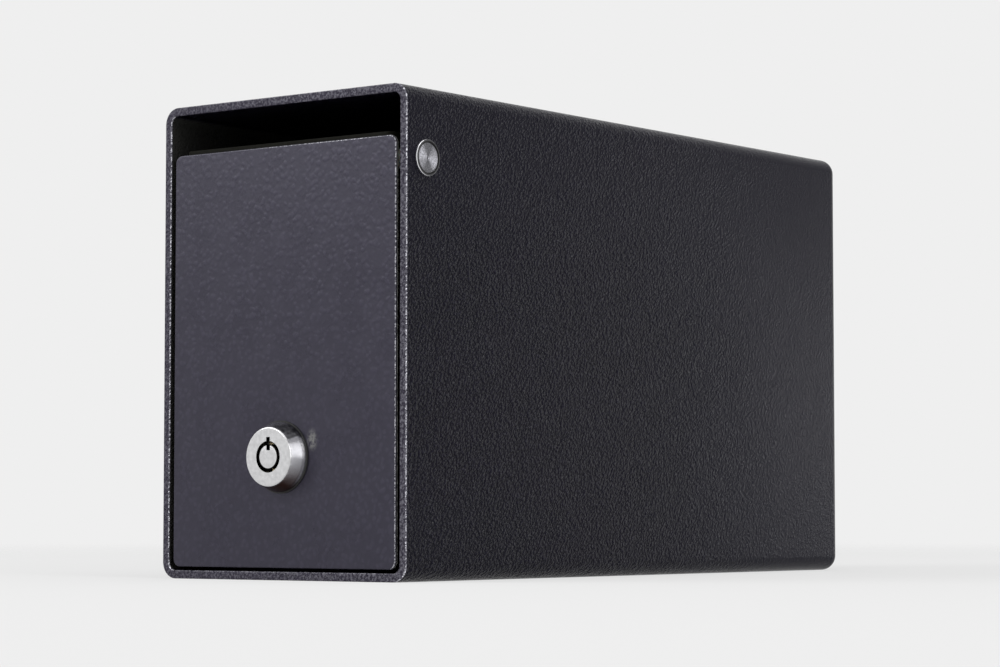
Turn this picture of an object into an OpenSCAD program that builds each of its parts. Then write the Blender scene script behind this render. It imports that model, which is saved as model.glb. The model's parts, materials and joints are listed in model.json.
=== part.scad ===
/* [Body] */
// Outside width of the box, side to side
body_w = 101.6; // [85:0.1:200]
// Outside height of the box
body_h = 152.4; // [130:0.1:300]
// Outside depth of the box, from the front rim to the back face
body_d = 254; // [200:0.5:400]
// Thickness of the body's steel sheet
body_t = 2.7; // [1.5:0.1:4]
// Inside radius of the body's bends
body_bend_r = 2.6; // [1:0.1:4]
// Straight part of the back pan's edge, from its weld to its bend
pan_edge = 9.6; // [4:0.1:20]

/* [Mounting holes] */
// Diameter of the four holes in the roof
mount_hole_d = 7.1; // [4:0.1:10]
// Distance from each side of the box in to the hole centres
mount_edge_x = 25.4; // [18:0.1:35]
// Distance from the front rim back to the front holes' centres
mount_front_y = 76.2; // [60:0.1:95]
// Distance from the back face forward to the rear holes' centres
mount_rear_y = 38.1; // [25:0.1:50]

/* [Door] */
// Thickness of the door's front sheet
door_t = 1.5; // [1.2:0.1:3]
// Distance from the front rim back to the door's face
door_recess = 0.2; // [0:0.1:2]
// Gap between the door and each side wall
door_side_gap = 1.75; // [0.8:0.05:3]
// Gap between the door and the floor
door_floor_gap = 1.1; // [0.6:0.1:3]
// Radius of the door's four corners
door_corner_r = 2.6; // [1:0.1:8]
// Height of the drop slot, from the door's top edge to the roof
slot_h = 13.1; // [8:0.1:25]

/* [Door channel] */
// Thickness of the channel behind the door's front sheet
channel_t = 1.5; // [1:0.1:2.5]
// Inside radius of the channel's bends
channel_bend_r = 1; // [0.5:0.1:2.5]
// Distance from the door's side edge in to the channel
channel_inset = 3.1; // [2:0.1:6]
// How far the channel stands above the door's top edge
channel_rise = 1.4; // [0.5:0.1:3]
// Outside depth of the channel's side flanges
channel_depth = 9; // [7:0.5:14]
// Gap between the channel's lower end and the height of the strike's top
channel_foot_gap = 4; // [2:0.5:20]
// Radius of the channel's lower corners
channel_corner_r = 3; // [1:0.5:5]
// Radius that blends each ear into its flange
ear_fillet_r = 6; // [3:0.5:12]

/* [Hinge] */
// Distance from the door's face back to the hinge axis
hinge_setback = 9.2; // [8:0.05:13]
// Distance from the door's top edge down to the hinge axis
hinge_drop = 6.8; // [5.5:0.1:12]
// Diameter of the hinge pins
pin_d = 6.35; // [4:0.05:8]
// Diameter of a hinge pin's head
pin_head_d = 11.4; // [10:0.1:16]
// Thickness of a hinge pin's head
pin_head_t = 1.1; // [0.8:0.1:2]
// Chamfer round a hinge pin's head
pin_head_chamfer = 0.25; // [0.15:0.05:0.4]
// Width of the raised rim round a hinge pin's head
pin_rim_w = 0.95; // [0.6:0.05:1.5]
// Depth of the head's face below its rim
pin_rim_h = 0.3; // [0.1:0.05:0.4]
// Radius of the centre mark in a hinge pin's head
pin_mark_r = 0.7; // [0.3:0.1:1.5]
// Metal left in the ear round the hinge pin
ear_rim = 4.7; // [3:0.1:6]
// Wall of the spacer bushes
spacer_wall = 1.8; // [1:0.1:3]
// Thickness of the retaining clips
clip_t = 0.8; // [0.5:0.1:1.2]
// Width of a retaining clip's ring
clip_ring = 2.2; // [1.5:0.1:3]
// Depth of the groove that a retaining clip sits in
clip_groove = 0.7; // [0.4:0.1:1]
// Length of pin left beyond its clip
pin_tail = 1; // [0.6:0.1:3]

/* [Lock head] */
// Height of the lock's centre above the base
lock_z = 38.5; // [32:0.5:80]
// Diameter of the lock head at the door
head_base_d = 22; // [21:0.1:30]
// Diameter of the lock head's flat face
head_face_d = 18.4; // [16:0.1:20]
// How far the lock head stands out from its gasket
head_h = 5.6; // [4:0.1:9]
// Straight rim at the foot of the lock head's taper
head_rim = 0.7; // [0.3:0.1:1.5]
// Radius of the edge round the lock head's face
head_edge_r = 0.4; // [0.2:0.1:1]
// Thickness of the lock's gasket
gasket_t = 0.5; // [0.3:0.1:1]
// How far the gasket shows round the lock head
gasket_margin = 0.4; // [0.2:0.1:1]
// Outside diameter of the keyway ring
keyway_d = 9.9; // [9:0.1:10.5]
// Diameter of the centre post in the keyway
post_d = 7.8; // [7:0.1:8.2]
// Width of the key notch at the top of the keyway
notch_w = 1.5; // [1:0.1:2]
// Depth of the key notch outside the keyway ring
notch_out = 1.25; // [0.8:0.05:1.6]
// Depth of the key notch in the centre post
notch_in = 1.9; // [1:0.1:2.2]
// Thickness of the lock head's front wall
head_wall = 2.2; // [1.5:0.1:3]

/* [Lock works] */
// Diameter of the lock barrel
barrel_d = 19.05; // [18.5:0.05:20.5]
// Distance across the barrel's two flats
barrel_flats = 16; // [15.5:0.1:18]
// Length of the barrel behind the head
barrel_l = 17; // [15:0.5:28]
// Number of tumblers
tumbler_count = 7; // [5:1:8]
// Diameter of the tumbler pins
tumbler_d = 1.9; // [1.6:0.1:2.1]
// Metal left outside the tumbler holes
tumbler_rim = 1.25; // [0.9:0.05:1.4]
// Metal left between the tumbler holes and the shaft
shaft_rim = 0.7; // [0.5:0.1:1]
// Room for the key's tip between the head's wall and the tumbler flange
key_room = 3.6; // [3:0.1:4.5]
// Thickness of the rotor's tumbler flange
rotor_flange_t = 4.5; // [3.5:0.1:6]
// Length of each driver pin
driver_l = 3.2; // [2:0.1:4]
// Length of each driver spring in its hole
spring_l = 5.4; // [4:0.1:6]
// Wire diameter of the driver springs
spring_wire = 0.3; // [0.2:0.05:0.4]
// Turns in each driver spring
spring_turns = 5; // [3:1:7]
// Difference between one key cut and the next
cut_step = 0.4; // [0.3:0.05:0.45]
// Diameter of the pin that holds the stator
stator_pin_d = 1.6; // [1:0.1:2]
// Distance from the barrel's rear end to the stator pin
stator_pin_back = 4.2; // [2:0.1:6]
// Width across the flats of the rotor's square end
drive_w = 4.4; // [3.8:0.1:4.8]
// Angle that the lock turns through
lock_turn = 90; // [60:5:120]
// Angle that the stop washer's tab covers
stop_tab = 40; // [20:1:60]
// Height of the stop lug on the barrel's rear end
stop_lug_h = 0.9; // [0.6:0.1:1.5]

/* [Lock hardware] */
// Thickness of the toothed washer
tooth_washer_t = 1.2; // [0.8:0.1:2]
// Diameter of the toothed washer over its teeth
tooth_washer_d = 25; // [23:0.1:30]
// Number of teeth round the washer
tooth_count = 16; // [8:1:24]
// Width across the lock nut's flats
nut_flats = 22.2; // [21.5:0.1:28]
// Thickness of the lock nut
nut_t = 4; // [3:0.1:5]
// Thickness of the stop washer
stop_washer_t = 1.1; // [0.8:0.1:2]
// Thickness of the cam
cam_t = 2; // [1.5:0.1:3]
// Width of the cam
cam_w = 14; // [11:0.1:18]
// Radius of the corners at the cam's tip
cam_corner_r = 2.5; // [1:0.1:4]
// Thickness of the cam screw's spring washer
spring_washer_t = 0.8; // [0.5:0.1:1.5]
// Diameter of the cam screw
cam_screw_d = 3; // [2.5:0.1:3.2]
// Length of the cam screw below its head
cam_screw_l = 9; // [6:0.5:14]
// Width across the flats of the cam screw's head
screw_head_flats = 6.5; // [6:0.1:10]
// Height of the cam screw's head
screw_head_h = 2.4; // [1.5:0.1:4]

/* [Strike] */
// Thickness of the strike's sheet
strike_t = 2; // [1.5:0.1:3]
// Width of the strike
strike_w = 44; // [25:1:60]
// Inside radius of the strike's bends
strike_bend_r = 1.5; // [1:0.1:2.5]
// Gap between the closed door and the strike
stop_gap = 0.3; // [0.1:0.05:0.6]
// Gap between the strike and the locked cam
catch_gap = 1; // [0.5:0.1:2]
// How far the locked cam reaches below the strike's top edge
catch_overlap = 4.5; // [3:0.1:6]
// Gap between the locked cam's tip and the floor
cam_floor_gap = 6.8; // [5:0.1:12]

/* [Deflector] */
// Thickness of the deflector's sheet
deflector_t = 1.5; // [1:0.1:2.5]
// Inside radius of the deflector's bends
deflector_bend_r = 2; // [1:0.1:4]
// Gap between the deflector and the roof's side bends
deflector_side_gap = 0.4; // [0.2:0.1:3]
// Room left for a driver between the front holes and the deflector
driver_room = 9; // [6:0.5:20]
// Length of the flange welded to the roof
deflector_flange = 14; // [8:0.5:20]
// Length of the deflector's slope
deflector_slope = 40; // [20:1:60]
// Angle of the slope below the horizontal
deflector_angle = 50; // [35:1:65]
// Length of the lip at the deflector's lower edge
deflector_lip = 8; // [4:0.5:15]

/* [Fits] */
// Radial clearance where one part turns on another
run_fit = 0.08; // [0.04:0.01:0.1]
// Clearance where a part is seated in another
seat_fit = 0.05; // [0.02:0.01:0.1]
// Clearance round the lock barrel in the door
panel_fit = 0.25; // [0.1:0.05:0.4]
// Gap left between faces that move past each other
face_gap = 0.3; // [0.2:0.05:0.5]

/* [Hidden] */
$fn = 96;

// A little more than a cut needs, so that it breaks the surface
over = 0.5;
// Overlap that makes the flats and bends of one sheet a single solid
hair = 0.01;

// Colours
body_paint = "#2b2a2e";
door_paint = "#3a3940";
inner_paint = "#222225";
turned_steel = "#9c9ca1";
zinc = "#a9adb2";
lock_chrome = "#d2d3d6";
brass = "#b8924e";
spring_steel = "#7d8084";
rubber = "#111112";
nylon = "#d8d6cc";

// Body, measured from the front rim, the base and the middle of the width
bend_outer_r = body_bend_r + body_t;
inner_w = body_w - 2 * body_t;
roof_z = body_h - body_t;
seam_y = body_d - bend_outer_r - pan_edge;

// Door
door_w = inner_w - 2 * door_side_gap;
door_bottom = body_t + door_floor_gap;
door_top = roof_z - slot_h;
door_back = door_recess + door_t;

// Hinge
hinge_y = door_recess + hinge_setback;
hinge_z = door_top - hinge_drop;
ear_hole_r = pin_d / 2 + run_fit;
ear_r = ear_hole_r + ear_rim;
wall_to_ear = door_side_gap + channel_inset;
spacer_l = wall_to_ear - face_gap;
clip_at = body_t + wall_to_ear + channel_t + face_gap;
pin_l = clip_at + clip_t + pin_tail;

// Strike and cam
strike_h = cam_floor_gap + catch_overlap;
strike_top = body_t + strike_h;
cam_reach = lock_z - body_t - cam_floor_gap;

// Door channel
channel_w = door_w - 2 * channel_inset;
channel_top = door_top + channel_rise;
channel_bottom = strike_top + channel_foot_gap;
flange_back = door_back + channel_depth;
ear_back = hinge_y + ear_r;

// Lock, measured along its axis from the door's face into the box
head_seat = -gasket_t;
head_face = head_seat - head_h;
chamber_front = head_face + head_wall;
rotor_flange_front = chamber_front + key_room;
shear_line = rotor_flange_front + rotor_flange_t;
stator_front = shear_line + seat_fit;
barrel_end = head_seat + barrel_l;
tumbler_ring_r = (keyway_d + post_d) / 4;
tumbler_hole_d = tumbler_d + 2 * seat_fit;
works_bore_d = 2 * tumbler_ring_r + tumbler_d + 2 * tumbler_rim;
shaft_d = 2 * tumbler_ring_r - tumbler_d - 2 * shaft_rim;
nut_front = door_t + channel_t + tooth_washer_t;
stop_washer_front = barrel_end + seat_fit;
cam_front = max(stop_washer_front + stop_washer_t, barrel_end + stop_lug_h + face_gap);
cam_back = cam_front + cam_t;
screw_seat = cam_back + spring_washer_t;
strike_back = door_recess + cam_front - catch_gap;

// Depth of each key cut in steps, clockwise from the notch
key_cuts = [1, 4, 2, 0, 5, 3, 1, 2];

// The origin is under the middle of the whole part, lock head included
front_y = (-(door_recess + head_face) - body_d) / 2;

module at_front() {
    translate([0, front_y, 0]) children();
}

// In the lock's own frame x is to the right, y is down and z runs into the box
module at_lock() {
    at_front() translate([0, door_recess, lock_z]) rotate([-90, 0, 0]) children();
}

// In a hinge pin's own frame z runs from the wall's outer face into the box: side is 1 right, -1 left
module at_hinge(side) {
    at_front() translate([side * body_w / 2, hinge_y, hinge_z]) rotate([0, -90 * side, 0]) children();
}

// Around each tumbler's axis, with $tumbler as its number
module at_tumblers() {
    for (i = [0 : tumbler_count - 1]) {
        $tumbler = i;
        rotate(360 * (i + 0.5) / tumbler_count) translate([0, -tumbler_ring_r, 0]) children();
    }
}

// An outline of depth against height, spread across the width
module across(w) {
    translate([-w / 2, 0, 0]) rotate([90, 0, 90]) linear_extrude(w) children();
}

// An outline of width against height, carried from y by t into the box
module inward(y, t) {
    translate([0, y + t, 0]) rotate([90, 0, 0]) linear_extrude(t) children();
}

module rounded_rect(w, h, r) {
    translate([r - w / 2, 0]) square([w - 2 * r, h]);
    translate([-w / 2, r]) square([w, h - 2 * r]);
    for (x = [r - w / 2, w / 2 - r], y = [r, h - r])
        translate([x, y]) circle(r);
}

module ring(outer_d, inner_d) {
    difference() {
        circle(d = outer_d);
        circle(d = inner_d);
    }
}

// A sector wide enough to cover radius r between two angles
module sector(r, from, to) {
    widest_step = 30;
    steps = ceil((to - from) / widest_step);
    rim = [for (i = [0 : steps]) let (a = from + (to - from) * i / steps) 2 * r * [cos(a), sin(a)]];
    polygon(concat([[0, 0]], rim));
}

// Folded sheet seen edge on: flats[0] runs along +x with its thickness above it, and each bend turns
// the sheet by its angle round the inside radius r, upwards where the angle is positive
module folded_sheet(flats, bends, t, r, i = 0) {
    start = i > 0 ? -hair : 0;
    end = i < len(bends) ? flats[i] + hair : flats[i];
    translate([start, 0]) square([end - start, t]);
    if (i < len(bends)) {
        up = sign(bends[i]);
        turn = abs(bends[i]);
        centre_y = up > 0 ? t + r : -r;
        translate([flats[i], centre_y]) {
            intersection() {
                ring(2 * (r + t), 2 * r);
                sector(r + t, up > 0 ? -90 : 90 - turn, up > 0 ? turn - 90 : 90);
            }
            rotate(bends[i]) translate([0, -centre_y]) folded_sheet(flats, bends, t, r, i + 1);
        }
    }
}

// A box open at the front, with edges of radius r along its length and round its back
module round_backed_block(w, h, d, r) {
    inward(0, d - r) rounded_rect(w, h, r);
    translate([r - w / 2, d - r, r]) cube([w - 2 * r, r, h - 2 * r]);
    for (x = [r - w / 2, w / 2 - r]) {
        translate([x, d - r, r]) cylinder(h = h - 2 * r, r = r);
        for (z = [r, h - r])
            translate([x, d - r, z]) sphere(r);
    }
    for (z = [r, h - r])
        translate([r - w / 2, d - r, z]) rotate([0, 90, 0]) cylinder(h = w - 2 * r, r = r);
}

// A coil spring along +z, as one unbroken wire
module coil_spring(mean_r, wire_r, length, turns) {
    sides = 6;
    steps_in_turn = 8;
    steps = steps_in_turn * turns;
    points = [
        for (i = [0 : steps], k = [0 : sides - 1])
            let (a = 360 * i / steps_in_turn, b = 360 * k / sides, r = mean_r + wire_r * cos(b))
                [r * cos(a), r * sin(a), wire_r * (1 + sin(b)) + (length - 2 * wire_r) * i / steps]
    ];
    walls = [
        for (i = [0 : steps - 1], k = [0 : sides - 1])
            let (a = i * sides + k, b = i * sides + (k + 1) % sides, c = b + sides, d = a + sides)
                each [[a, b, c], [a, c, d]]
    ];
    first_end = [for (k = [sides - 1 : -1 : 0]) k];
    last_end = [for (k = [0 : sides - 1]) steps * sides + k];
    polyhedron(points, concat(walls, [first_end, last_end]));
}

module body_sleeve() {
    color(body_paint) at_front() difference() {
        inward(0, seam_y) difference() {
            rounded_rect(body_w, body_h, bend_outer_r);
            translate([0, body_t]) rounded_rect(inner_w, body_h - 2 * body_t, body_bend_r);
        }
        for (side = [-1, 1], y = [mount_front_y, body_d - mount_rear_y])
            translate([side * (body_w / 2 - mount_edge_x), y, roof_z - over])
                cylinder(h = body_t + 2 * over, d = mount_hole_d);
        translate([-body_w / 2 - over, hinge_y, hinge_z]) rotate([0, 90, 0])
            cylinder(h = body_w + 2 * over, r = pin_d / 2 + seat_fit);
    }
}

module back_pan() {
    color(body_paint) at_front() difference() {
        round_backed_block(body_w, body_h, body_d, bend_outer_r);
        translate([0, 0, body_t])
            round_backed_block(inner_w, body_h - 2 * body_t, body_d - body_t, body_bend_r);
        translate([-body_w, -over, -over]) cube([2 * body_w, seam_y + over, body_h + 2 * over]);
    }
}

module deflector_plate() {
    color(inner_paint) at_front() across(inner_w - 2 * (body_bend_r + deflector_side_gap))
        translate([mount_front_y + mount_hole_d / 2 + driver_room, roof_z - deflector_t])
            folded_sheet([deflector_flange, deflector_slope, deflector_lip],
                [-deflector_angle, deflector_angle - 90], deflector_t, deflector_bend_r);
}

module strike_bracket() {
    stop_face = door_back + stop_gap;
    corner = strike_t + strike_bend_r;
    color(inner_paint) at_front() across(strike_w) translate([stop_face, strike_top]) rotate(-90)
        folded_sheet([strike_h - corner, strike_back - stop_face - 2 * corner, strike_h - corner],
            [90, 90], strike_t, strike_bend_r);
}

module hinge_pin(side) {
    shank_r = pin_d / 2;
    head_r = pin_head_d / 2;
    face = pin_head_t - pin_rim_h;
    nose = clip_groove;
    outline = [
        [0, pin_mark_r - face],
        [pin_mark_r, -face],
        [head_r - pin_rim_w, -face],
        [head_r - pin_rim_w, -pin_head_t],
        [head_r - pin_head_chamfer, -pin_head_t],
        [head_r, pin_head_chamfer - pin_head_t],
        [head_r, 0],
        [shank_r, 0],
        [shank_r, clip_at],
        [shank_r - clip_groove, clip_at],
        [shank_r - clip_groove, clip_at + clip_t],
        [shank_r, clip_at + clip_t],
        [shank_r, pin_l - nose],
        [shank_r - nose, pin_l],
        [0, pin_l]
    ];
    color(turned_steel) at_hinge(side) rotate_extrude() polygon(outline);
}

module hinge_spacer(side) {
    bore = pin_d + 2 * seat_fit;
    color(nylon) at_hinge(side) translate([0, 0, body_t]) linear_extrude(spacer_l)
        ring(bore + 2 * spacer_wall, bore);
}

// The clip is open at the back and snaps over the groove from the side
module retaining_clip(side) {
    bore = pin_d - 2 * clip_groove + 2 * hair;
    mouth = 2 / 3 * bore;
    color(spring_steel) at_hinge(side) translate([0, 0, clip_at]) linear_extrude(clip_t) difference() {
        ring(bore + 2 * clip_ring, bore);
        translate([-mouth / 2, 0]) square([mouth, pin_d]);
    }
}

module hinge_pin_right() {
    hinge_pin(1);
}

module hinge_pin_left() {
    hinge_pin(-1);
}

module hinge_spacer_right() {
    hinge_spacer(1);
}

module hinge_spacer_left() {
    hinge_spacer(-1);
}

module retaining_clip_right() {
    retaining_clip(1);
}

module retaining_clip_left() {
    retaining_clip(-1);
}

module barrel_outline(fit = 0) {
    intersection() {
        circle(d = barrel_d + 2 * fit);
        square([barrel_flats + 2 * fit, barrel_d + 4 * fit], center = true);
    }
}

module barrel_hole() {
    translate([0, 0, -over]) linear_extrude(door_t + channel_t + 2 * over) barrel_outline(panel_fit);
}

module door_skin() {
    color(door_paint) difference() {
        at_front() translate([0, 0, door_bottom]) inward(door_recess, door_t)
            rounded_rect(door_w, door_top - door_bottom, door_corner_r);
        at_lock() barrel_hole();
    }
}

// The channel's side seen from the right: a straight flange that widens into the hinge ear
module channel_side() {
    r = channel_corner_r;
    blend_y = flange_back + ear_fillet_r;
    blend_z = hinge_z - sqrt(pow(ear_r + ear_fillet_r, 2) - pow(blend_y - hinge_y, 2));
    intersection() {
        union() {
            translate([0, channel_bottom + r]) square([flange_back, body_h]);
            translate([0, channel_bottom]) square([flange_back - r, body_h]);
            translate([flange_back - r, channel_bottom + r]) circle(r);
            translate([hinge_y, hinge_z]) circle(ear_r);
            difference() {
                polygon([
                    [hinge_y, hinge_z], [hinge_y, blend_z], [flange_back, blend_z], [blend_y, blend_z]
                ]);
                translate([blend_y, blend_z]) circle(ear_fillet_r);
            }
        }
        square([ear_back + over, channel_top]);
    }
}

module door_channel() {
    corner = channel_t + channel_bend_r;
    flange = ear_back - door_back - corner;
    web = channel_w - 2 * corner;
    color(door_paint) difference() {
        at_front() intersection() {
            linear_extrude(body_h) translate([-channel_w / 2, ear_back]) rotate(-90)
                folded_sheet([flange, web, flange], [90, 90], channel_t, channel_bend_r);
            across(body_w) channel_side();
        }
        at_lock() barrel_hole();
        at_hinge(1) cylinder(h = body_w, r = ear_hole_r);
    }
}

module lock_gasket() {
    color(rubber) at_lock() translate([0, 0, head_seat]) linear_extrude(gasket_t)
        ring(head_base_d + 2 * gasket_margin, barrel_d + 2 * panel_fit);
}

// Half of the head's section: a flat face, a rounded edge, a taper and a short straight rim
module head_section() {
    face_r = head_face_d / 2;
    base_r = head_base_d / 2;
    slope = atan2(head_h - head_rim, base_r - face_r);
    centre = [face_r - head_edge_r * tan(slope / 2), head_face + head_edge_r];
    steps = 6;
    rounded_edge = [
        for (i = [0 : steps])
            let (a = -90 + slope * i / steps) centre + head_edge_r * [cos(a), sin(a)]
    ];
    foot = [[base_r, head_seat - head_rim], [base_r, head_seat], [0, head_seat]];
    polygon(concat([[0, head_face]], rounded_edge, foot));
}

// The notch at the top of the keyway that lines the key up
module key_notch(from_r, to_r, from_z, to_z) {
    translate([-notch_w / 2, -to_r, from_z]) cube([notch_w, to_r - from_r, to_z - from_z]);
}

module lock_housing() {
    lug_play = 2;
    color(lock_chrome) at_lock() difference() {
        union() {
            rotate_extrude() head_section();
            translate([0, 0, head_seat]) linear_extrude(barrel_l) barrel_outline();
            translate([0, 0, barrel_end]) linear_extrude(stop_lug_h) intersection() {
                barrel_outline();
                sector(barrel_d / 2, stop_tab / 2 + lug_play, 360 - lock_turn - stop_tab / 2 - lug_play);
            }
        }
        translate([0, 0, head_face - over]) cylinder(h = head_wall + 2 * over, d = keyway_d);
        translate([0, 0, chamber_front]) cylinder(h = barrel_l + head_h, d = works_bore_d);
        key_notch(0, keyway_d / 2 + notch_out, head_face - over, chamber_front + over);
        translate([0, 0, barrel_end - stator_pin_back]) rotate([90, 0, 0])
            cylinder(h = barrel_d, d = stator_pin_d + 2 * seat_fit);
    }
}

module lock_stator() {
    hole_l = driver_l + spring_l + 2 * seat_fit;
    color(zinc) at_lock() difference() {
        translate([0, 0, stator_front])
            cylinder(h = barrel_end - stator_front, d = works_bore_d - 2 * seat_fit);
        cylinder(h = barrel_end + over, d = shaft_d + 2 * run_fit);
        translate([0, 0, stator_front - over]) at_tumblers()
            cylinder(h = hole_l + over, d = tumbler_hole_d);
        translate([0, 0, barrel_end - stator_pin_back]) rotate([90, 0, 0]) stator_pin_blank(seat_fit);
    }
}

// The pin stops short of the tumbler holes
module stator_pin_blank(fit) {
    wall = 0.4;
    sunk = 0.2;
    inner_r = tumbler_ring_r + tumbler_d / 2 + wall;
    translate([0, 0, inner_r - fit])
        cylinder(h = barrel_d / 2 - inner_r - sunk, d = stator_pin_d + 2 * fit);
}

module stator_pin() {
    color(spring_steel) at_lock() translate([0, 0, barrel_end - stator_pin_back]) rotate([90, 0, 0])
        stator_pin_blank(0);
}

module driver_pins() {
    color(brass) at_lock() translate([0, 0, stator_front]) at_tumblers()
        cylinder(h = driver_l, d = tumbler_d);
}

module driver_springs() {
    color(spring_steel) at_lock() translate([0, 0, stator_front + driver_l + seat_fit]) at_tumblers()
        coil_spring((tumbler_d - spring_wire) / 2 - seat_fit, spring_wire / 2, spring_l, spring_turns);
}

module lock_washer() {
    tooth_l = 1.6;
    tooth_w = 2.4;
    body_r = tooth_washer_d / 2 - tooth_l;
    color(zinc) at_lock() translate([0, 0, door_t + channel_t]) linear_extrude(tooth_washer_t) {
        ring(2 * body_r, barrel_d + 2 * panel_fit);
        for (i = [0 : tooth_count - 1])
            rotate(360 * i / tooth_count) intersection() {
                translate([0, -tooth_w / 2]) square([tooth_washer_d / 2, tooth_w]);
                ring(tooth_washer_d, 2 * body_r - over);
            }
    }
}

module hexagon(flats) {
    circle(d = flats / cos(30), $fn = 6);
}

// A hexagon whose corners are chamfered at both ends
module hexagon_block(flats, h) {
    inner_r = flats / 2;
    outer_r = inner_r / cos(30) + seat_fit;
    step = (outer_r - inner_r) / 2;
    intersection() {
        linear_extrude(h) hexagon(flats);
        rotate_extrude()
            polygon([[0, 0], [inner_r, 0], [outer_r, step], [outer_r, h - step], [inner_r, h], [0, h]]);
    }
}

module lock_nut() {
    color(zinc) at_lock() translate([0, 0, nut_front]) difference() {
        hexagon_block(nut_flats, nut_t);
        translate([0, 0, -over]) cylinder(h = nut_t + 2 * over, d = barrel_d + 2 * seat_fit);
    }
}

module drive_outline(fit = 0) {
    intersection() {
        circle(d = shaft_d + 2 * fit);
        square(drive_w + 2 * fit, center = true);
    }
}

module lock_rotor() {
    post_recess = 0.05;
    post_chamfer = 0.15;
    post_r = post_d / 2;
    flange_r = works_bore_d / 2 - run_fit;
    shaft_r = shaft_d / 2;
    outline = [
        [0, head_face + post_recess],
        [post_r - post_chamfer, head_face + post_recess],
        [post_r, head_face + post_recess + post_chamfer],
        [post_r, rotor_flange_front],
        [flange_r, rotor_flange_front],
        [flange_r, shear_line],
        [shaft_r, shear_line],
        [shaft_r, stop_washer_front],
        [0, stop_washer_front]
    ];
    color(lock_chrome) at_lock() difference() {
        union() {
            rotate_extrude() polygon(outline);
            translate([0, 0, stop_washer_front - over]) linear_extrude(cam_back - stop_washer_front + over)
                drive_outline();
        }
        key_notch(post_r - notch_in, flange_r, head_face - over, rotor_flange_front);
        translate([0, 0, chamber_front + seat_fit]) at_tumblers()
            cylinder(h = barrel_l, d = tumbler_hole_d);
        translate([0, 0, screw_seat - cam_screw_l - over])
            cylinder(h = barrel_l, d = cam_screw_d + 2 * seat_fit);
    }
}

module key_pins() {
    nose = 0.3;
    r = tumbler_d / 2;
    color(brass) at_lock() at_tumblers() {
        front = chamber_front + 2 * cut_step + cut_step * key_cuts[$tumbler];
        rotate_extrude()
            polygon([[0, front], [r - nose, front], [r, front + nose], [r, shear_line], [0, shear_line]]);
    }
}

module stop_washer() {
    body_r = works_bore_d / 2 - seat_fit;
    color(zinc) at_lock() translate([0, 0, stop_washer_front]) linear_extrude(cam_front - stop_washer_front)
        difference() {
            union() {
                circle(body_r);
                intersection() {
                    circle(d = barrel_d);
                    square([barrel_flats, barrel_d], center = true);
                    sector(barrel_d / 2, -stop_tab / 2, stop_tab / 2);
                }
            }
            drive_outline(seat_fit);
        }
}

// At rest the cam points to the left, clear of the strike, and locking turns it down
module cam() {
    hub_r = cam_w / 2;
    color(zinc) at_lock() translate([0, 0, cam_front]) linear_extrude(cam_t) difference() {
        union() {
            circle(hub_r);
            translate([-cam_reach / 2, -hub_r]) square([cam_reach / 2, cam_w]);
            rotate(90) rounded_rect(cam_w, cam_reach, cam_corner_r);
        }
        drive_outline(seat_fit);
    }
}

module cam_spring_washer() {
    split = 0.8;
    color(spring_steel) at_lock() translate([0, 0, cam_back]) linear_extrude(spring_washer_t) difference() {
        ring(screw_head_flats, cam_screw_d + 2 * seat_fit);
        translate([0, -split / 2]) square([screw_head_flats, split]);
    }
}

module cam_screw() {
    color(zinc) at_lock() {
        translate([0, 0, screw_seat - cam_screw_l]) cylinder(h = cam_screw_l + seat_fit, d = cam_screw_d);
        translate([0, 0, screw_seat]) hexagon_block(screw_head_flats, screw_head_h);
    }
}

body_sleeve();
back_pan();
deflector_plate();
strike_bracket();
hinge_pin_right();
hinge_pin_left();
hinge_spacer_right();
hinge_spacer_left();
retaining_clip_right();
retaining_clip_left();
door_skin();
door_channel();
lock_gasket();
lock_housing();
lock_stator();
stator_pin();
driver_pins();
driver_springs();
lock_washer();
lock_nut();
lock_rotor();
key_pins();
stop_washer();
cam();
cam_spring_washer();
cam_screw();
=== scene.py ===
import json
import math

import bmesh
import bpy
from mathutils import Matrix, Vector

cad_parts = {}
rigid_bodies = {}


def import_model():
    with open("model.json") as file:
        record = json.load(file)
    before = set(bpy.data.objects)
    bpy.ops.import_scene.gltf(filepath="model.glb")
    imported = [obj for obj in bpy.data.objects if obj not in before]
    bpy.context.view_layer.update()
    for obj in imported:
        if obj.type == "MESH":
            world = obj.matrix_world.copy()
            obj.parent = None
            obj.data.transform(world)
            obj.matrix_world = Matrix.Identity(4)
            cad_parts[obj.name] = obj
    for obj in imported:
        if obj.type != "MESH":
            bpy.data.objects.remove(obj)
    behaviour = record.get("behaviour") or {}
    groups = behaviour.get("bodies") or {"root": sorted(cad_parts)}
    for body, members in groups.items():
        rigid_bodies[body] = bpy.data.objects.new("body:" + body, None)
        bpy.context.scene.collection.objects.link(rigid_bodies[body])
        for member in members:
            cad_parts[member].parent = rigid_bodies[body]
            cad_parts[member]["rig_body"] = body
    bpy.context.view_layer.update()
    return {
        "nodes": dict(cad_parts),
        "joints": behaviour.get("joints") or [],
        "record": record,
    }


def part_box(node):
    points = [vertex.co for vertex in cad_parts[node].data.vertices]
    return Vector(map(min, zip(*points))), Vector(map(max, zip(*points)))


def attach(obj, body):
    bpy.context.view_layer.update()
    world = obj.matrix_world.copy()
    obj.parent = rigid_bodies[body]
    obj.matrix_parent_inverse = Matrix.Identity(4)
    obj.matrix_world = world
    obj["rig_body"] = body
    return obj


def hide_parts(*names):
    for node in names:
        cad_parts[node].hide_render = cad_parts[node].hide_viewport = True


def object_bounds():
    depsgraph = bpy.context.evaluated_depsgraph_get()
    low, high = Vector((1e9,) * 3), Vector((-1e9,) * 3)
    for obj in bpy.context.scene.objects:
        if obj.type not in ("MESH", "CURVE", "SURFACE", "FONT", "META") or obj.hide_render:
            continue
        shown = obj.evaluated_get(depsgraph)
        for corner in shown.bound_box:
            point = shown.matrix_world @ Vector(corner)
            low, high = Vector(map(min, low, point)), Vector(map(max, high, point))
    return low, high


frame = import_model()

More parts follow.
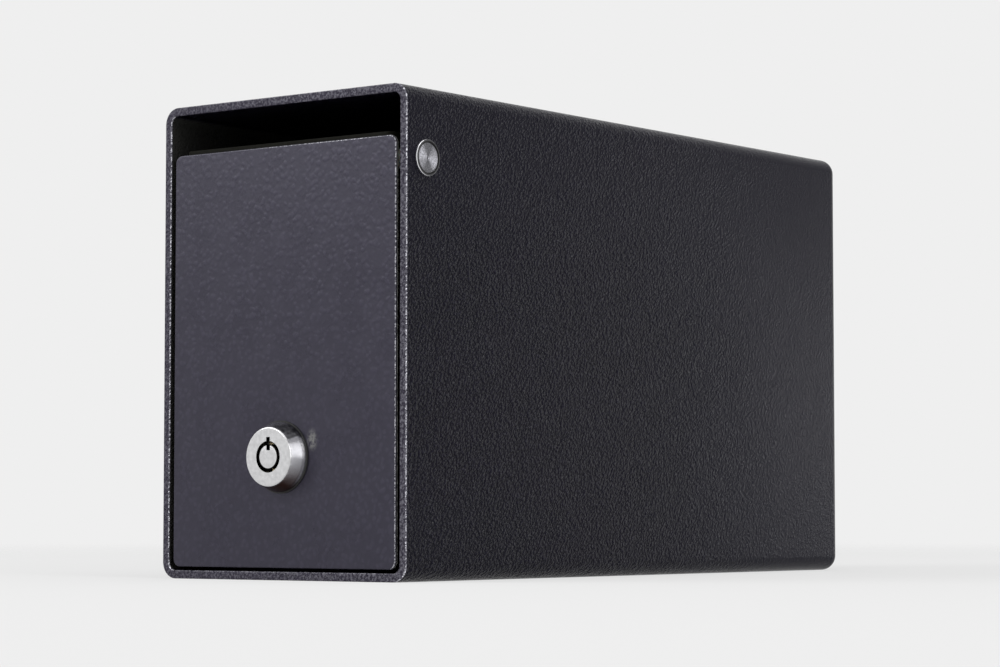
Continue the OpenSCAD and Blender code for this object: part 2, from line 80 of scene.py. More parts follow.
MM = 0.001
nodes = frame["nodes"]
joints = {joint["name"]: joint for joint in frame["joints"]}
hinge_axis = Vector(joints["door_hinge"]["pos_m"])
lock_axis = Vector(joints["lock_turn"]["pos_m"])
body_low, body_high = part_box("body_sleeve")
rim_y = body_low.y
seam_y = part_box("back_pan")[0].y
lock_front_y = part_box("lock_housing")[0].y

# The thickness of the body's sheet
WALL = 2.7 * MM

# How far edges are broken: body, the door's front sheet, other plates, turned parts, pressed parts
BODY_EDGE = 0.42 * MM
SKIN_EDGE = 0.45 * MM
PLATE_EDGE = 0.25 * MM
TURNED_EDGE = 0.1 * MM
PRESSED_EDGE = 0.12 * MM

# An edge that turns by more than SHARP is broken, and one still over CREASE afterwards shows as a line
SHARP = math.radians(24)
CREASE = math.radians(32)

# The thread on the lock's barrel, with 20 turns to the inch
THREAD_PITCH = 1.27 * MM
THREAD_DEPTH = 0.6 * MM

# Linear colours: white light, and the pale studio grey round the object
WHITE = (1.0, 1.0, 1.0)
STUDIO_GREY = (0.863, 0.863, 0.863)


class Nodes:
    """Makes and joins the nodes of a material or world."""

    def __init__(self, tree):
        self.tree = tree
        self.tree.nodes.clear()

    def add(self, kind, **settings):
        node = self.tree.nodes.new(kind)
        for name, value in settings.items():
            setattr(node, name, value)
        return node

    def feed(self, socket, value):
        """Joins another node's output to a socket, or gives the socket a value of its own."""
        if isinstance(value, bpy.types.NodeSocket):
            self.tree.links.new(value, socket)
        else:
            socket.default_value = value

    def calc(self, operation, a, b=0.0):
        node = self.add("ShaderNodeMath", operation=operation)
        for socket, value in zip(node.inputs, (a, b)):
            self.feed(socket, value)
        return node.outputs[0]

    def product(self, first, *others):
        for other in others:
            first = self.calc("MULTIPLY", first, other)
        return first

    def mixed(self, share, a, b):
        """Shader a where share is 0 and shader b where it is 1."""
        node = self.add("ShaderNodeMixShader")
        for socket, value in zip(node.inputs, (share, a, b)):
            self.feed(socket, value)
        return node.outputs[0]

    def seen(self):
        """1 where the camera sees it, also in metal or through glass, and 0 where it only lights others."""
        path = self.add("ShaderNodeLightPath")
        seen = self.calc("MAXIMUM", path.outputs["Is Camera Ray"], path.outputs["Is Glossy Ray"])
        return self.calc("MAXIMUM", seen, path.outputs["Is Transmission Ray"])


class Finish(Nodes):
    """A material whose colour, roughness and relief are worked out from places on the object, in metres."""

    def __init__(self, name):
        self.material = bpy.data.materials.new(name)
        self.material.use_nodes = True
        super().__init__(self.material.node_tree)
        self.output = self.add("ShaderNodeOutputMaterial")
        self.shader = self.add("ShaderNodeBsdfPrincipled")
        self.feed(self.output.inputs["Surface"], self.shader.outputs["BSDF"])
        self.coordinates = self.add("ShaderNodeTexCoord").outputs["Object"]
        self.place = self.coordinates

    def set(self, **values):
        """Sets the shader's own sockets, with their spaces written as underscores."""
        for name, value in values.items():
            self.feed(self.shader.inputs[name.replace("_", " ")], value)

    def vector(self, operation, a, b=(0, 0, 0), scale=1.0):
        node = self.add("ShaderNodeVectorMath", operation=operation)
        self.feed(node.inputs[0], a)
        self.feed(node.inputs[1], b)
        self.feed(node.inputs[3], scale)
        return node.outputs[1 if operation in ("DOT_PRODUCT", "LENGTH") else 0]

    def noise(self, size, detail=2.0, rough=0.5, where=None, colour=False):
        """Soft random values from 0 to 1 in lumps of about the given size."""
        node = self.add("ShaderNodeTexNoise")
        self.feed(node.inputs["Vector"], where or self.place)
        self.feed(node.inputs["Scale"], 1 / size)
        self.feed(node.inputs["Detail"], detail)
        self.feed(node.inputs["Roughness"], rough)
        return node.outputs["Color" if colour else "Fac"]

    def cells(self, size, where, smooth):
        """The distance from the middle of random cells of about the given size."""
        node = self.add("ShaderNodeTexVoronoi", feature="SMOOTH_F1")
        self.feed(node.inputs["Vector"], where)
        self.feed(node.inputs["Scale"], 1 / size)
        self.feed(node.inputs["Smoothness"], smooth)
        return node.outputs["Distance"]

    def warped(self, size, by):
        """The place, pushed about by up to the given length in lumps of the given size."""
        push = self.vector("SUBTRACT", self.noise(size, detail=1.0, colour=True), (0.5, 0.5, 0.5))
        return self.vector("ADD", self.place, self.vector("SCALE", push, scale=2 * by))

    def between(self, value, low, high, to_low=0.0, to_high=1.0):
        """The value spread from its own range over another, and held inside it."""
        node = self.add("ShaderNodeMapRange", interpolation_type="SMOOTHSTEP")
        for socket, number in zip(node.inputs, (value, low, high, to_low, to_high)):
            self.feed(socket, number)
        return node.outputs[0]

    def after(self, value, start, fade):
        """0 up to the start, and 1 from the fade beyond it."""
        return self.between(value, start, start + fade)

    def before(self, value, start, fade):
        """1 up to the start, and 0 from the fade beyond it."""
        return self.between(value, start, start + fade, 1.0, 0.0)

    def blend(self, share, a, b):
        """Colour a where share is 0 and colour b where it is 1."""
        node = self.add("ShaderNodeMix", data_type="RGBA")
        self.feed(node.inputs[0], share)
        for socket, colour in ((node.inputs[6], a), (node.inputs[7], b)):
            self.feed(socket, colour if isinstance(colour, bpy.types.NodeSocket) else (*colour, 1.0))
        return node.outputs[2]

    def level(self, share, a, b):
        """Number a where share is 0 and number b where it is 1."""
        node = self.add("ShaderNodeMix", data_type="FLOAT")
        for socket, value in ((node.inputs[0], share), (node.inputs[2], a), (node.inputs[3], b)):
            self.feed(socket, value)
        return node.outputs[0]

    def edges(self, radius):
        """1 along sharp edges and 0 on flats, from how far a rounded edge's normal would lean."""
        least_lean, full_lean = 0.02, 0.22
        rounded_edge = self.add("ShaderNodeBevel", samples=6)
        self.feed(rounded_edge.inputs["Radius"], radius)
        flat = self.add("ShaderNodeNewGeometry").outputs["True Normal"]
        lean = self.calc("SUBTRACT", 1.0, self.vector("DOT_PRODUCT", rounded_edge.outputs[0], flat))
        return self.between(lean, least_lean, full_lean)

    def along(self, axis):
        """The place along one axis of the frame."""
        node = self.add("ShaderNodeSeparateXYZ")
        self.feed(node.inputs[0], self.coordinates)
        return node.outputs[axis]

    def facing(self, axis):
        """How far the surface faces along one axis of the frame, from -1 to 1."""
        node = self.add("ShaderNodeSeparateXYZ")
        self.feed(node.inputs[0], self.add("ShaderNodeTexCoord").outputs["Normal"])
        return node.outputs[axis]

    def distance(self, value, middle):
        """How far the value is from the middle, to either side."""
        return self.calc("ABSOLUTE", self.calc("SUBTRACT", value, middle))

    def arm(self, axis_point, across):
        """The way out from an axis to the place, where across is 0 in the axis's own direction."""
        return self.vector("MULTIPLY", self.vector("SUBTRACT", self.coordinates, tuple(axis_point)), across)

    def from_axis(self, axis_point, across):
        """How long that way is."""
        return self.vector("LENGTH", self.arm(axis_point, across))

    def relief(self, height, depth, under=None):
        """A bump of the given depth, on top of another one if there is one."""
        node = self.add("ShaderNodeBump")
        self.feed(node.inputs["Distance"], depth)
        self.feed(node.inputs["Height"], height)
        if under is not None:
            self.feed(node.inputs["Normal"], under)
        return node.outputs[0]


def times(share, colour):
    """The colour made darker or brighter."""
    return [min(1.0, share * part) for part in colour]


def powder_coat(
    name, colour, pebble, relief, rough, gloss, lean=0.0, fine=0.05, painted_relief_shade=(0.8, 1.15), calmer=(),
    wear_and_light=None, glints=None, glint_x=None
):
    """Baked powder paint: rounded pebbles with a finer grain on them, all stretched along a slant.

    lean is how much they are stretched, from 0 for not at all. fine is the depth of the finer grain as a
    share of the relief, and painted_relief_shade the shares of the colour in the hollows and on the crests,
    painted in as shade and highlight. calmer names axes, the two places along each between which the
    pebbles grow shallower, and the share of their height that is left. wear_and_light gives the places
    where the coat is thin and where light is painted in, each as a share from 0 to 1 and a colour. glints
    are the strengths of the pale metal specks painted as highlights on the front's right and top edges,
    and glint_x is the two places along X between which they grow from faint to full.
    """
    glint_colour = (0.8, 0.8, 0.86)
    cool_gloss = (0.82, 0.8, 1.0, 1.0)
    paint = Finish(name)
    slant_y = 0.85
    slant = (0.0, slant_y, math.sqrt(1 - slant_y ** 2))
    along = paint.vector("SCALE", slant, scale=paint.vector("DOT_PRODUCT", paint.place, slant))
    paint.place = paint.vector("SUBTRACT", paint.place, paint.vector("SCALE", along, scale=lean))

    where = paint.warped(2.2 * pebble, 0.5 * pebble)
    pebbles = paint.before(paint.cells(pebble, where, smooth=0.6), 0.12, 0.48)
    worms = paint.noise(0.8 * pebble, detail=1.0, where=where)
    # Taken off so that the surface doesn't slope where the pebbles grow shallower
    mean_height = 1.1
    height = paint.calc("SUBTRACT", paint.calc("ADD", pebbles, worms), mean_height)
    calm = paint.between(paint.noise(14 * pebble, detail=1.0), 0.3, 0.7, 0.75, 1.0)
    for axis, start, end, left in calmer:
        calm = paint.product(calm, paint.between(paint.along(axis), start, end, 1.0, left))
    height = paint.product(height, calm)
    grain = paint.noise(0.4 * pebble, detail=2.0)

    # Painted shade and highlight: the colour is darker in the hollows and lighter on the crests
    hollow, crest = painted_relief_shade
    shade = paint.blend(paint.between(height, -0.9, 0.6), times(hollow, colour), times(crest, colour))
    for share, wear_and_light_colour in wear_and_light(paint) if wear_and_light else ():
        shade = paint.blend(share, shade, wear_and_light_colour)
    # Painted highlights: pale metal specks on the edges that face the right and the top, where the lamps are
    if glints:
        glint_share = edge_glints(paint, *glints, glint_x)
        shade = paint.blend(glint_share, shade, glint_colour)
        paint.set(Metallic=glint_share)
    paint.set(
        Base_Color=shade,
        Roughness=paint.between(paint.noise(6 * pebble, detail=3.0), 0.3, 0.7, rough - 0.03, rough + 0.04),
        Specular_IOR_Level=gloss,
        Specular_Tint=cool_gloss,
        Normal=paint.relief(grain, fine * relief, under=paint.relief(height, relief)),
    )
    return paint.material


def edge_glints(paint, right, top, glint_x):
    """How bright the painted highlights are, as specks of metal along the edges between the front and the
    right or the top.
    """
    forward = paint.product(paint.facing("Y"), -1.0)
    corner = paint.product(paint.after(forward, 0.15, 0.15), paint.before(forward, 0.93, 0.06))
    lit = paint.calc(
        "MAXIMUM",
        paint.between(paint.facing("X"), 0.1, 0.3, 0.0, right),
        paint.between(paint.facing("Z"), 0.1, 0.3, 0.0, top),
    )
    specks = paint.between(paint.noise(0.6 * MM, detail=2.0, rough=0.6), 0.46, 0.57, 0.1, 1.0)
    glint_share = paint.product(lit, corner, specks)
    if glint_x:
        faint = 0.12
        glint_share = paint.product(glint_share, paint.between(paint.along("X"), *glint_x, faint, 1.0))
    return glint_share


def body_wear_and_light(paint):
    """Painted light on the inner side walls, and pale specks painted as highlights on the front's
    thin-coated cut edge, most at the right.
    """
    inner_wall_light, thin_coat, speck_highlight = (0.027, 0.027, 0.025), (0.042, 0.038, 0.055), (0.145, 0.14, 0.168)
    at_left, at_right = 0.65, 1.25
    # Painted light: the inner side walls, and not the roof, get a paler colour for the light they catch
    inside = []
    for axis, start, end in (("X", body_low.x, body_high.x), ("Z", body_low.z, body_high.z)):
        inner = (end - start) / 2 - WALL
        from_middle = paint.distance(paint.along(axis), (start + end) / 2)
        inside.append(paint.before(from_middle, inner + 0.15 * MM, 0.2 * MM))
    upright = paint.between(paint.calc("ABSOLUTE", paint.facing("X")), 0.3, 0.8)
    lit_inner_walls = paint.product(*inside, upright)

    # The cut edge's coat is thin, and pale specks are painted on it as highlights, stronger towards the
    # right
    cut = paint.before(paint.calc("SUBTRACT", paint.along("Y"), rim_y), 0.25 * MM, 0.45 * MM)
    specks = paint.between(paint.noise(0.8 * MM, detail=3.0, rough=0.6), 0.44, 0.62)
    strength = paint.between(paint.along("X"), body_low.x, body_high.x, at_left, at_right)
    painted_light_share = paint.product(specks, strength)
    return (lit_inner_walls, inner_wall_light), (cut, paint.blend(painted_light_share, thin_coat, speck_highlight))


def door_painted_light(paint):
    """A highlight painted along the rear corner of the sheet's right edge, and a pale reflection of the lock
    painted on the front beside it.
    """
    rear_corner_highlight, lock_reflection = (0.5, 0.5, 0.47), (0.2, 0.2, 0.19)
    # Painted highlight: a pale line along the rear corner of the right edge
    rear_corner = paint.after(paint.calc("SUBTRACT", paint.along("Y"), rim_y), 0.95 * MM, 0.15 * MM)
    right_edge = paint.after(paint.facing("X"), 0.5, 0.2)
    uneven = paint.between(paint.noise(1.3 * MM, detail=3.0), 0.35, 0.6, 0.3, 1.0)

    # Painted reflection: a pale streaky patch on the front, to the right of the lock
    reflection_centre = lock_axis + Vector((12.9 * MM, 0.0, 5.2 * MM))
    reflection_reach = paint.from_axis(reflection_centre, (1.6, 0.0, 1.0))
    painted_light_share = paint.between(reflection_reach, 1.0 * MM, 4.4 * MM, 0.9, 0.0)
    streaks = paint.between(paint.noise(1.1 * MM, detail=3.0, rough=0.6), 0.32, 0.6)
    front = paint.before(paint.facing("Y"), -0.9, 0.2)
    return (
        (paint.product(rear_corner, right_edge, uneven), rear_corner_highlight),
        (paint.product(painted_light_share, streaks, front), lock_reflection),
    )


def turned_metal(name, colour, axis_point, pitch, rough, groove):
    """Steel turned on a lathe round an axis along X: fine rings, fans painted bright as highlights, stains,
    and a groove painted dark as shade.

    pitch is the distance from ring to ring, and groove the radius of the groove in the end face, which has a
    ring of painted shade and a rim painted near white as a highlight outside it.
    """
    # Colours for the lathe centre, the ring's painted shade, the rim's painted highlight and the groove's
    # painted shade
    dot_colour, ring_shade, rim_highlight = (0.03, 0.03, 0.03), (0.09, 0.09, 0.095), (0.97, 0.97, 1.0)
    groove_shade = (0.02, 0.02, 0.02)
    along_axis, across = (1.0, 0.0, 0.0), (0.0, 1.0, 1.0)
    metal = Finish(name)
    radius = metal.from_axis(axis_point, across)
    stain = metal.noise(0.4 * MM, detail=3.0, rough=0.7)
    uneven = metal.product(metal.noise(0.6 * MM, detail=3.0), 0.25 * pitch)
    rings = metal.calc("SINE", metal.product(metal.calc("ADD", radius, uneven), 2 * math.pi / pitch))

    # Painted highlight: the colour is brightest in fans to the front and rear of the axis, and the stains
    # fray them
    painted_fan = metal.calc("DIVIDE", metal.distance(metal.along("Y"), axis_point.y), radius)
    painted_fan = metal.calc("ADD", painted_fan, metal.between(stain, 0.2, 0.8, -0.15, 0.15))
    turned = metal.blend(metal.between(stain, 0.32, 0.68), times(0.4, colour), times(1.6, colour))
    turned = metal.vector("SCALE", turned, scale=metal.between(painted_fan, 0.35, 0.9, 0.6, 1.35))
    centre_dot = metal.between(radius, 0.15 * MM, 0.5 * MM, 0.8, 0.0)
    turned = metal.blend(centre_dot, turned, dot_colour)
    # Painted shade on the ring outside the groove, and a painted highlight on the rim beyond it
    turned = metal.blend(metal.after(radius, groove, 0.1 * MM), turned, ring_shade)
    rim = metal.after(radius, groove + 0.64 * MM, 0.06 * MM)
    unshaded = metal.after(metal.distance(radius, groove), 0.14 * MM, 0.2 * MM)
    metal.set(
        Base_Color=metal.blend(unshaded, groove_shade, metal.blend(rim, turned, rim_highlight)),
        Metallic=1.0,
        Roughness=metal.level(rim, metal.between(stain, 0.25, 0.75, rough - 0.06, rough + 0.1), 0.14),
        Anisotropic=0.95,
        Anisotropic_Rotation=0.25,
        Tangent=metal.vector("CROSS_PRODUCT", metal.arm(axis_point, across), along_axis),
        Normal=metal.relief(rings, 0.02 * MM),
    )
    return metal.material


def plated_metal(name, colour, tint, rough, spangle, scratch_depth):
    """Plated or uncoated small metal parts: soft spangle, fine scratches and brighter edges worn by use."""
    metal = Finish(name)
    cloud = metal.noise(spangle, detail=4.0, rough=0.6)
    drawn_out = metal.vector("MULTIPLY", metal.warped(3 * MM, 0.6 * MM), (1.0, 0.12, 1.0))
    scratches = metal.noise(0.12 * MM, detail=2.0, where=drawn_out)
    edge = metal.product(metal.edges(0.18 * MM), 0.5)
    body = metal.blend(metal.between(cloud, 0.3, 0.7), colour, tint)
    metal.set(
        Base_Color=metal.blend(edge, body, times(1.3, colour)),
        Metallic=1.0,
        Roughness=metal.between(cloud, 0.25, 0.75, rough - 0.05, rough + 0.09),
        Normal=metal.relief(scratches, scratch_depth),
    )
    return metal.material


def lock_chrome(name):
    """The lock's satin face, its taper, its keyway and its threaded barrel, with light and shade painted in.

    On the taper a reflection is painted into the colour: a wide pale band at its sides and dark ground above
    and below. The edges get painted highlights, and the keyway painted shade.
    """
    # Satin for the face, then colours for the painted edge highlight, the taper's painted reflection and the
    # keyway's painted shade
    satin, pale_satin, edge_highlight = (0.6, 0.6, 0.61), (0.66, 0.66, 0.67), (0.95, 0.95, 0.95)
    painted_side_reflection, painted_ground_reflection = (0.72, 0.72, 0.75), (0.1, 0.046, 0.033)
    painted_dark_top, painted_pale_top = (0.05, 0.05, 0.055), (0.2, 0.2, 0.21)
    keyway_shade = (0.012, 0.011, 0.01)
    taper_inner, face_outer, head_depth = 9.3 * MM, 10.75 * MM, 6.1 * MM
    post_inner, post_outer, keyway_outer = 3.5 * MM, 4.2 * MM, 6.4 * MM
    keyway_start, keyway_end = 0.1 * MM, 12 * MM

    metal = Finish(name)
    depth = metal.calc("SUBTRACT", metal.along("Y"), lock_front_y)
    radius = metal.from_axis(lock_axis, (1.0, 0.0, 1.0))
    cloud = metal.noise(1.3 * MM, detail=4.0, rough=0.6)
    waver = metal.noise(2.2 * MM, detail=3.0, rough=0.6)

    # The angle up from level on either side of the axis, in radians, a little uneven
    up = metal.calc("SUBTRACT", metal.along("Z"), lock_axis.z)
    slope = metal.calc("ARCTAN2", up, metal.distance(metal.along("X"), lock_axis.x))
    slope = metal.calc("ADD", slope, metal.product(metal.calc("SUBTRACT", waver, 0.5), 0.25))
    # Painted reflection on the taper: pale at its sides, brown below, and dark above with paler patches
    band = metal.blend(metal.before(slope, -1.15, 1.05), painted_side_reflection, painted_ground_reflection)
    above = metal.blend(metal.between(waver, 0.35, 0.65), painted_dark_top, painted_pale_top)
    band = metal.blend(metal.after(slope, 0.58, 0.08), band, above)
    taper = metal.product(
        metal.after(radius, taper_inner, 0.15 * MM), metal.before(depth, head_depth, 0.1 * MM)
    )

    face = metal.blend(metal.between(cloud, 0.3, 0.7), satin, pale_satin)
    # Painted highlights on the face's outer edge at its sides, and on all sharp edges
    lit_edge = metal.product(
        metal.after(radius, face_outer, 0.15 * MM),
        metal.between(slope, -1.1, -0.5),
        metal.before(slope, 0.5, 0.12),
    )
    painted_light_share = metal.calc("MAXIMUM", metal.product(metal.edges(0.2 * MM), 0.8), lit_edge)
    shade = metal.blend(painted_light_share, metal.blend(taper, face, band), edge_highlight)
    # Painted shade in the keyway and on the post's edge
    keyway = metal.product(
        metal.before(radius, keyway_outer, 0.2 * MM),
        metal.after(depth, keyway_start, 0.15 * MM),
        metal.before(depth, keyway_end, 1.0 * MM),
    )
    post_edge = metal.product(
        metal.after(radius, post_inner, 0.15 * MM), metal.before(radius, post_outer, 0.2 * MM)
    )
    keyway_shade_share = metal.calc("MAXIMUM", keyway, post_edge)
    metal.set(
        Base_Color=metal.blend(keyway_shade_share, shade, keyway_shade),
        Metallic=1.0,
        Roughness=metal.level(taper, metal.between(cloud, 0.25, 0.75, 0.17, 0.28), 0.24),
        Normal=metal.relief(metal.noise(0.25 * MM, detail=3.0), 0.0025 * MM),
    )
    return metal.material


def moulded(name, colour, rough, grain_size, grain_depth, soft=0.0):
    """Moulded plastic or rubber with a matt grain."""
    stuff = Finish(name)
    cloud = stuff.noise(4 * grain_size, detail=3.0)
    stuff.set(
        Base_Color=stuff.blend(cloud, times(0.85, colour), times(1.12, colour)),
        Roughness=stuff.between(cloud, 0.3, 0.7, rough - 0.06, rough + 0.06),
        Subsurface_Weight=soft,
        Subsurface_Scale=0.6 * MM,
        Normal=stuff.relief(stuff.noise(grain_size, detail=2.0), grain_depth),
    )
    return stuff.material


materials = {
    "body_paint": powder_coat(
        "body_paint", colour=(0.0058, 0.0052, 0.0103), pebble=0.86 * MM, relief=0.4 * MM, rough=0.22,
        gloss=0.083, lean=0.36, fine=0.2, painted_relief_shade=(0.5, 1.5),
        calmer=(("Y", -0.02, 0.1, 0.13), ("Z", 0.085, 0.135, 0.5)), wear_and_light=body_wear_and_light, glints=(0.65, 0.2),
    ),
    "door_paint": powder_coat(
        "door_paint", colour=(0.029, 0.0265, 0.04), pebble=1.8 * MM, relief=0.031 * MM, rough=0.29,
        gloss=0.35, lean=0.3, painted_relief_shade=(0.8, 1.18), wear_and_light=door_painted_light, glints=(0.55, 0.6), glint_x=(-0.03, 0.02),
    ),
    # A darker, matt copy of the door paint for the channel behind the sheet, painted as the shade it sits in
    "door_channel_shade_paint": powder_coat(
        "door_channel_shade_paint", colour=(0.012, 0.012, 0.0085), pebble=0.8 * MM, relief=0.02 * MM, rough=0.6,
        gloss=0.05,
    ),
    "inner_paint": powder_coat(
        "inner_paint", colour=(0.004, 0.004, 0.0045), pebble=0.8 * MM, relief=0.02 * MM, rough=0.55,
        gloss=0.2,
    ),
    "turned_steel": turned_metal(
        "turned_steel", colour=(0.3, 0.3, 0.325), axis_point=hinge_axis, pitch=0.55 * MM, rough=0.4,
        groove=4.9 * MM,
    ),
    "nylon": moulded(
        "nylon", colour=(0.68, 0.67, 0.60), rough=0.5, grain_size=0.25 * MM, grain_depth=0.01 * MM,
        soft=0.15,
    ),
    "spring_steel": plated_metal(
        "spring_steel", colour=(0.27, 0.27, 0.28), tint=(0.2, 0.2, 0.215), rough=0.36, spangle=0.9 * MM,
        scratch_depth=0.003 * MM,
    ),
    "gasket_rubber": moulded(
        "gasket_rubber", colour=(0.012, 0.012, 0.012), rough=0.62, grain_size=0.15 * MM,
        grain_depth=0.012 * MM,
    ),
    "lock_chrome": lock_chrome("lock_chrome"),
    "zinc_plate": plated_metal(
        "zinc_plate", colour=(0.46, 0.47, 0.49), tint=(0.5, 0.49, 0.46), rough=0.34, spangle=1.6 * MM,
        scratch_depth=0.003 * MM,
    ),
    "pin_brass": plated_metal(
        "pin_brass", colour=(0.95, 0.84, 0.58), tint=(0.88, 0.72, 0.42), rough=0.5, spangle=0.5 * MM,
        scratch_depth=0.004 * MM,
    ),
}
slot_of = {part["node"]: part["material_slot"] for part in frame["record"]["subparts"]}
finish_of = {**slot_of, "door_channel": "door_channel_shade_paint"}


def clean_shape(node):
    """A CAD node's mesh as a bmesh of whole faces: doubled points joined and flat triangles merged."""
    join_within, flat_within = 0.002 * MM, math.radians(0.3)
    shape = bmesh.new()
    shape.from_mesh(nodes[node].data)
    bmesh.ops.remove_doubles(shape, verts=shape.verts, dist=join_within)
    bmesh.ops.dissolve_limit(
        shape, angle_limit=flat_within, use_dissolve_boundaries=False, verts=shape.verts, edges=shape.edges
    )
    return shape


def cut_thread(shape):
    """Cuts the thread into the long facets of the lock's barrel, which has two flats across X, kept flat."""
    steps_to_turn = 8
    shortest_facet = 8 * THREAD_PITCH
    corner = 0.15 * MM
    radius_of = {}
    for edge in shape.edges:
        one, other = (vert.co for vert in edge.verts)
        length_y = abs(other.y - one.y)
        if length_y > shortest_facet and length_y > 0.999 * edge.calc_length():
            radius_of[edge] = math.hypot(one.x - lock_axis.x, one.z - lock_axis.z)
    crest = max(radius_of.values())
    facets = [edge for edge, radius in radius_of.items() if radius > crest - corner]
    ends = [vert.co.y for edge in facets for vert in edge.verts]
    start, end = min(ends), max(ends)
    flat = max(abs(vert.co.x - lock_axis.x) for edge in facets for vert in edge.verts)
    steps = round(steps_to_turn * (end - start) / THREAD_PITCH)
    made = bmesh.ops.subdivide_edges(shape, edges=facets, cuts=steps)
    for vert in {item for item in made["geom_inner"] if isinstance(item, bmesh.types.BMVert)}:
        across, up = vert.co.x - lock_axis.x, vert.co.z - lock_axis.z
        turns = (vert.co.y - start) / THREAD_PITCH
        turned = math.atan2(up, across) / (2 * math.pi)
        groove = 0.5 - 0.5 * math.cos(2 * math.pi * (turns + turned))
        runout = min(1.0, turns, (end - vert.co.y) / THREAD_PITCH)
        radius = math.hypot(across, up) - THREAD_DEPTH * runout * groove
        if abs(across) > flat - corner:
            vert.co.z = lock_axis.z + math.copysign(math.sqrt(radius ** 2 - across ** 2), up)
        else:
            share = radius / math.hypot(across, up)
            vert.co.x, vert.co.z = lock_axis.x + share * across, lock_axis.z + share * up


def finished_piece(name, shape, node):
    """Makes a piece from a bmesh, which stands for a CAD node, rides on its body and has its finish."""
    mesh = bpy.data.meshes.new(name)
    bmesh.ops.triangulate(shape, faces=[face for face in shape.faces if len(face.verts) > 4])
    shape.to_mesh(mesh)
    shape.free()
    mesh.validate()
    for polygon in mesh.polygons:
        polygon.use_smooth = True
    mesh.set_sharp_from_angle(angle=CREASE)
    piece = bpy.data.objects.new(name, mesh)
    bpy.context.scene.collection.objects.link(piece)
    weighted = piece.modifiers.new("weighted_normals", "WEIGHTED_NORMAL")
    weighted.keep_sharp = True
    mesh.materials.append(materials[finish_of[node]])
    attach(piece, nodes[node]["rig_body"])
    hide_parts(node)


def rounded(node, radius, steps=2, keep=None, clamp=True, then=None):
    """Replaces the CAD node by a piece with its sharp edges broken, as paint, plating or use leaves them.

    keep says of an edge whether it is broken. clamp stops a broken edge at its neighbours. then is called
    with the shape once its edges are broken.
    """
    shape = clean_shape(node)
    edges = [
        edge for edge in shape.edges
        if edge.is_manifold and edge.calc_face_angle() > SHARP and (keep is None or keep(edge))
    ]
    bmesh.ops.bevel(
        shape, geom=edges, offset=radius, offset_type="OFFSET", segments=steps, profile=0.5,
        affect="EDGES", clamp_overlap=clamp
    )
    if then:
        then(shape)
    finished_piece(node + "_finished", shape, node)


def off_the_seam(edge):
    """The weld between sleeve and back pan is ground flush and painted, so its edges stay as they are."""
    return any(abs(vert.co.y - seam_y) > 0.1 * MM for vert in edge.verts)


for node, piece in nodes.items():
    piece.data.materials.clear()
    piece.data.materials.append(materials[finish_of[node]])

rounded("body_sleeve", BODY_EDGE, steps=3, keep=off_the_seam, clamp=False)
rounded("back_pan", BODY_EDGE, steps=3, keep=off_the_seam)
rounded("door_skin", SKIN_EDGE, steps=3, clamp=False)
for node in ("door_channel", "deflector_plate", "strike_bracket"):
    rounded(node, PLATE_EDGE)
for node in ("hinge_pin_right", "hinge_pin_left", "lock_rotor"):
    rounded(node, TURNED_EDGE)
rounded("lock_housing", TURNED_EDGE, then=cut_thread)
for node in ("lock_nut", "lock_washer", "stop_washer", "cam", "cam_screw"):
    rounded(node, PRESSED_EDGE)


def stage_material():
    """Pale matt floor that fades into the studio grey far from the object."""
    fade_start, fade_end = 0.35, 1.1
    pale, paler = (0.87, 0.87, 0.87), (0.89, 0.89, 0.89)
    floor = Finish("studio_floor")
    floor.set(
        Base_Color=floor.blend(floor.noise(0.9, detail=2.0), pale, paler),
        Roughness=0.9,
        Specular_IOR_Level=0.0,
    )
    glow = floor.add("ShaderNodeEmission")
    floor.feed(glow.inputs["Color"], (*STUDIO_GREY, 1.0))
    near = floor.mixed(floor.product(floor.seen(), 0.7), floor.shader.outputs["BSDF"], glow.outputs[0])
    far = floor.between(floor.from_axis((0, 0, 0), (1.0, 1.0, 0.0)), fade_start, fade_end)
    clear = floor.add("ShaderNodeBsdfTransparent")
    floor.feed(floor.output.inputs["Surface"], floor.mixed(far, near, clear.outputs[0]))
    return floor.material


def make_floor():
    """A round floor just under the object."""
    gap = 0.02 * MM
    mesh = bpy.data.meshes.new("floor")
    shape = bmesh.new()
    bmesh.ops.create_circle(shape, cap_ends=True, segments=64, radius=3.0)
    shape.to_mesh(mesh)
    shape.free()
    floor = bpy.data.objects.new("floor", mesh)
    floor.location.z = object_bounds()[0].z - gap
    bpy.context.scene.collection.objects.link(floor)
    mesh.materials.append(stage_material())


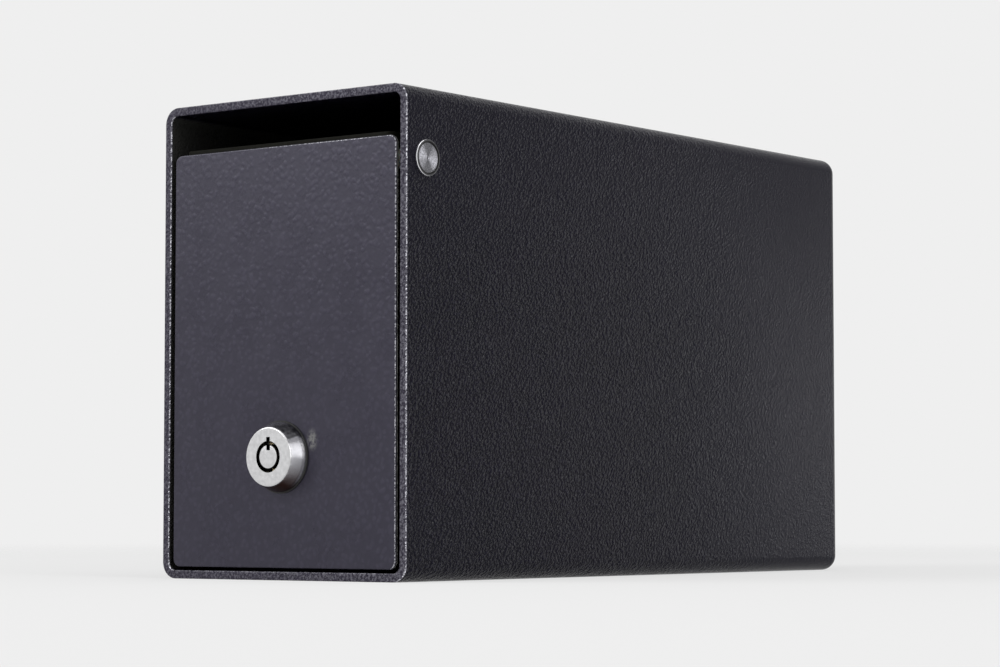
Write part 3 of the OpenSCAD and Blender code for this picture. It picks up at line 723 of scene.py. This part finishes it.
def make_world():
    """Soft light from all round, and the studio grey wherever the camera, metal or glass sees it."""
    world = bpy.data.worlds.new("studio")
    bpy.context.scene.world = world
    world.use_nodes = True
    sky = Nodes(world.node_tree)
    light_and_backdrop = []
    for colour, strength in ((WHITE, 0.42), (STUDIO_GREY, 1.0)):
        background = sky.add("ShaderNodeBackground")
        sky.feed(background.inputs["Color"], (*colour, 1.0))
        sky.feed(background.inputs["Strength"], strength)
        light_and_backdrop.append(background.outputs[0])
    output = sky.add("ShaderNodeOutputWorld")
    sky.feed(output.inputs["Surface"], sky.mixed(sky.seen(), *light_and_backdrop))


def softbox(name, place, width, height, power):
    """A rectangular lamp that faces the middle of the object."""
    aim = Vector((0.0, 0.0, 0.07))
    lamp = bpy.data.lights.new(name, "AREA")
    lamp.shape = "RECTANGLE"
    lamp.size = width
    lamp.size_y = height
    lamp.energy = power
    holder = bpy.data.objects.new(name, lamp)
    holder.location = place
    holder.rotation_euler = (aim - Vector(place)).to_track_quat("-Z", "Y").to_euler()
    bpy.context.scene.collection.objects.link(holder)


def make_camera():
    """The photograph's viewpoint: a long lens, low in front on the right, turned up a little."""
    to_right, before_rim, height = 0.610087, 0.681542, 0.021328
    turn, tilt = math.radians(37.527), math.radians(3.508)
    camera = bpy.data.cameras.new("camera")
    camera.lens = 104.832
    camera.sensor_width = 36.0
    camera.clip_start = 0.05
    holder = bpy.data.objects.new("camera", camera)
    holder.location = (to_right, rim_y - before_rim, height)
    holder.rotation_euler = (math.pi / 2 + tilt, 0.0, turn)
    bpy.context.scene.collection.objects.link(holder)
    bpy.context.scene.camera = holder


make_camera()
make_world()
make_floor()
softbox("front_left_softbox", place=(-1.05, -1.35, 0.95), width=1.1, height=1.1, power=14.5)
softbox("top_softbox", place=(0.3, -0.1, 1.7), width=1.4, height=1.4, power=8.0)
softbox("right_softbox", place=(1.45, -0.36, 0.6), width=0.5, height=1.2, power=7.0)
softbox("rear_softbox", place=(0.66, 1.5, 0.08), width=0.5, height=0.15, power=0.8)

bpy.context.scene.view_settings.view_transform = "Standard"
